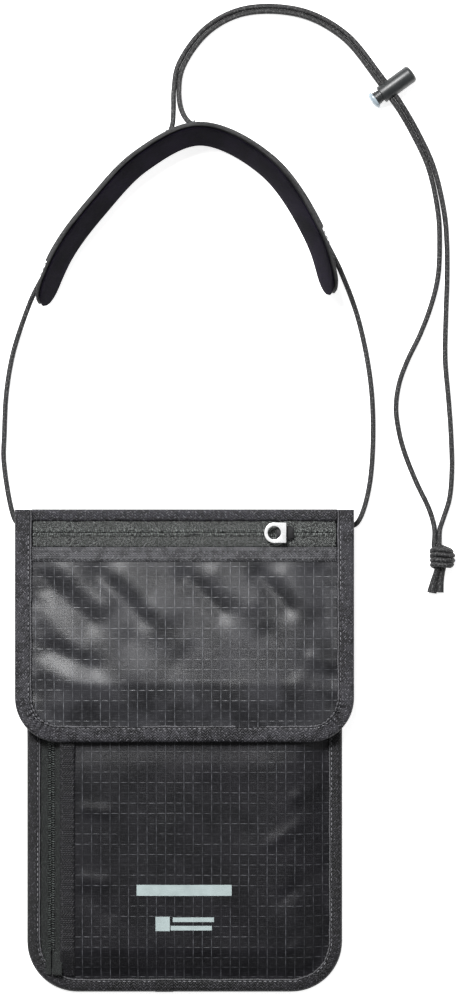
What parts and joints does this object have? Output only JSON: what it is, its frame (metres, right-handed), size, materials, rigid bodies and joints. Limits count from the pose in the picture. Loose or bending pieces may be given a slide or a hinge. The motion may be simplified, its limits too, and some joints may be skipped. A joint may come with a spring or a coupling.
{
  "type": "neck pouch wallet",
  "caption": "Flat neck pouch wallet with bound edges, fold-over flap, zip pockets, padded neck strip, cord and sprung cord lock, lying on its back.",
  "frame": {"origin": "centre of the pouch body's back face, where it rests on the surface", "axes": "+X to the right across the pouch, +Y up the pouch towards the neck pad, +Z out through the flap"},
  "size_m": [0.2166, 0.4718, 0.0252],
  "materials": {
    "ripstop": "satin ripstop weave",
    "binding": "matt grosgrain",
    "lining": "matt plain weave",
    "mesh": "matt knitted spacer",
    "zip_tape": "matt woven tape",
    "zip_coil": "satin nylon",
    "cord": "matt braid",
    "shield_film": "satin foil",
    "foam": "matt foam",
    "hook_loop": "matt",
    "slider_metal": "satin black",
    "pull_metal": "polished",
    "lock_plastic": "gloss",
    "button_plastic": "gloss",
    "spring_steel": "bright"
  },
  "bodies": {
    "pouch": {"back_panel": "ripstop", "rfid_shield": "shield_film", "back_lining": "lining", "pocket_divider": "lining", "front_panel": "ripstop", "body_binding": "binding", "mouth_seam_binding": "binding", "loop_patch": "hook_loop", "body_zip_tape_outer": "zip_tape", "body_zip_tape_inner": "zip_tape", "body_zip_coil_outer": "zip_coil", "body_zip_coil_inner": "zip_coil", "cord_tab_left": "binding", "cord_tab_right": "binding", "cord_left": "cord", "cord_right": "cord", "neck_pad_base": "mesh", "neck_pad_foam": "foam", "neck_pad_cover": "binding", "neck_pad_sleeve": "binding", "stopper_knot": "cord", "cord_tail_left": "cord", "cord_tail_right": "cord"},
    "body_slider": {"body_zip_slider": "slider_metal", "body_zip_puller": "binding"},
    "flap": {"flap_lining": "lining", "flap_pocket_panel": "ripstop", "flap_edge_binding": "binding", "flap_top_binding": "binding", "flap_hinge_tape": "binding", "hook_patch": "hook_loop", "flap_zip_tape_upper": "zip_tape", "flap_zip_tape_lower": "zip_tape", "flap_zip_coil_upper": "zip_coil", "flap_zip_coil_lower": "zip_coil"},
    "flap_slider": {"flap_zip_slider": "slider_metal"},
    "flap_pull": {"flap_zip_pull": "pull_metal"},
    "cord_lock": {"lock_barrel": "lock_plastic", "lock_spring": "spring_steel"},
    "lock_button": {"lock_plunger": "button_plastic"}
  },
  "joints": [
    {"name": "flap_hinge", "type": "hinge", "parent": "pouch", "child": "flap", "pos_m": [0, 0.1145, 0.005], "axis": [-1, 0, 0], "range_deg": [0, 140]},
    {"name": "flap_zip_slide", "type": "slide", "parent": "flap", "child": "flap_slider", "axis": [1, 0, 0], "range_m": [-0.112, 0.018]},
    {"name": "flap_pull_hinge", "type": "hinge", "parent": "flap_slider", "child": "flap_pull", "pos_m": [0.04775, 0.104, 0.01385], "axis": [0, 1, 0], "range_deg": [0, 95]},
    {"name": "body_zip_slide", "type": "slide", "parent": "pouch", "child": "body_slider", "axis": [0, 1, 0], "range_m": [-0.176, 0.006]},
    {"name": "lock_slide", "type": "slide", "parent": "pouch", "child": "cord_lock", "axis": [0.5878, -0.809, 0], "range_m": [-0.004, 0.004]},
    {"name": "lock_press", "type": "slide", "parent": "cord_lock", "child": "lock_button", "axis": [0.809, 0.5878, 0], "range_m": [0, 0.003], "stiffness_N_per_m": 800, "deforming": ["lock_spring"]}
  ]
}
